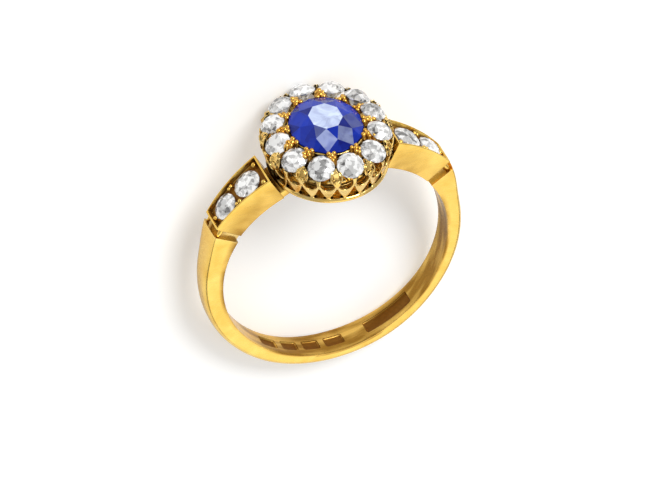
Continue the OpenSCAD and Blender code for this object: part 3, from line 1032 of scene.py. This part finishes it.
def layFloor():
    bpy.ops.mesh.primitive_plane_add(size=floorLook["size"], location=(0, 0, -floorLook["below"]))
    table = named("table")
    material, tree, surface, place = freshMaterial("table_white")
    grain = addNode(tree, "TexNoise", {"Vector": place}, Detail=2.0)
    grain.inputs["Scale"].default_value = floorLook["grain"]
    pale = floorLook["colour"]
    shade = tuple(floorLook["shade"] * part for part in pale)
    tree.links.new(blend(tree, grain.outputs["Fac"], pale, shade), surface.inputs["Base Color"])
    surface.inputs["Roughness"].default_value = floorLook["rough"]
    surface.inputs["Specular IOR Level"].default_value = floorLook["level"]
    surface.inputs["Emission Color"].default_value = (1, 1, 1, 1)
    seen = addNode(tree, "LightPath").outputs["Is Camera Ray"]
    glow = addNode(tree, "Math", {0: seen}, operation="MULTIPLY")
    glow.inputs[1].default_value = floorLook["glow"]
    tree.links.new(glow.outputs["Value"], surface.inputs["Emission Strength"])
    table.data.materials.append(material)


# Camera of the photograph: place in millimetres, turn in degrees, lens on a 36 mm frame
cameraSet = {
    "place": (-102.8195, 204.5907, 329.8548),
    "turn": (-28.7881, -21.0758, -6.6484),
    "lens": 310.647, "frame": 36,
    "clip": (0.02, 20),
}


def placeCamera():
    place = [part / 1000 for part in cameraSet["place"]]
    turn = [math.radians(part) for part in cameraSet["turn"]]
    bpy.ops.object.camera_add(location=place, rotation=turn)
    camera = bpy.context.object
    camera.name = "camera"
    camera.data.lens = cameraSet["lens"]
    camera.data.sensor_width = cameraSet["frame"]
    camera.data.clip_start, camera.data.clip_end = cameraSet["clip"]
    bpy.context.scene.camera = camera


# Soft studio light: a pale room, lighter overhead, and two soft boxes
room = {"low": (0.36, 0.36, 0.37), "high": (0.6, 0.6, 0.6), "rise": (0.05, 0.9),
        "strength": 1.0}
softBoxes = [
    {"name": "softBoxLow", "place": (0.04, -0.87, 0.61), "size": 1.4, "power": 3.6},
    {"name": "softBoxKey", "place": (0.4, 0.8, 0.85), "size": 0.6, "power": 9.4},
]


def lightStudio():
    world = bpy.data.worlds.new("room")
    world.use_nodes = True
    bpy.context.scene.world = world
    tree = world.node_tree
    back = tree.nodes["Background"]
    direction = addNode(tree, "TexCoord").outputs["Generated"]
    parts = addNode(tree, "SeparateXYZ", {"Vector": direction})
    up = ramp(tree, parts.outputs["Z"], *room["rise"])
    tree.links.new(blend(tree, up, room["low"], room["high"]), back.inputs["Color"])
    back.inputs["Strength"].default_value = room["strength"]
    for box in softBoxes:
        towards = Vector(box["place"])
        bpy.ops.object.light_add(type="AREA", location=towards,
                                 rotation=towards.to_track_quat("Z", "Y").to_euler())
        light = bpy.context.object
        light.name = box["name"]
        light.data.shape = "DISK"
        light.data.size = box["size"]
        light.data.energy = box["power"]
    bpy.context.scene.view_settings.view_transform = "Standard"


placeCamera()
lightStudio()
layFloor()
print("camera, light and table set")

hoop = makeShank()
strikeMarks(hoop)
print("shank made, with blank recesses inside")
rightShoulder = makeShoulder()
leftShoulder = mirrored(rightShoulder, "shoulder_left")
print("shoulders made")
gallery = makeGallery()
innerGrains = makeBeads()
print("gallery made", len(gallery.data.polygons))
goldPieces = [hoop, rightShoulder, leftShoulder, gallery, innerGrains]
for piece in (hoop, rightShoulder, leftShoulder):
    markLining(piece)
for piece in goldPieces:
    layDown(piece)

wornGold = makeGold("worn")
goldOf = {"gallery": makeGold("pierced"), "inner_grains": makeGold("grains")}
for piece in goldPieces:
    piece.data.materials.clear()
    piece.data.materials.append(goldOf.get(piece.name, wornGold))

# The stones are the solids themselves, in new materials
sapphireLook, diamondLook = makeStone("sapphire"), makeStone("diamond")
stoneNodes = [thing for thing in bpy.data.objects
              if thing.name == "sapphire" or "diamond_" in thing.name]
for stone in stoneNodes:
    material = sapphireLook if stone.name == "sapphire" else diamondLook
    for slot in stone.material_slots:
        slot.material = material
    if not stone.material_slots:
        stone.data.materials.append(material)
markGrimeAndShade(goldPieces, stoneNodes)
for piece in goldPieces:
    markEdges(piece)
print("finishes laid on", len(goldPieces), "pieces and", len(stoneNodes), "stones")
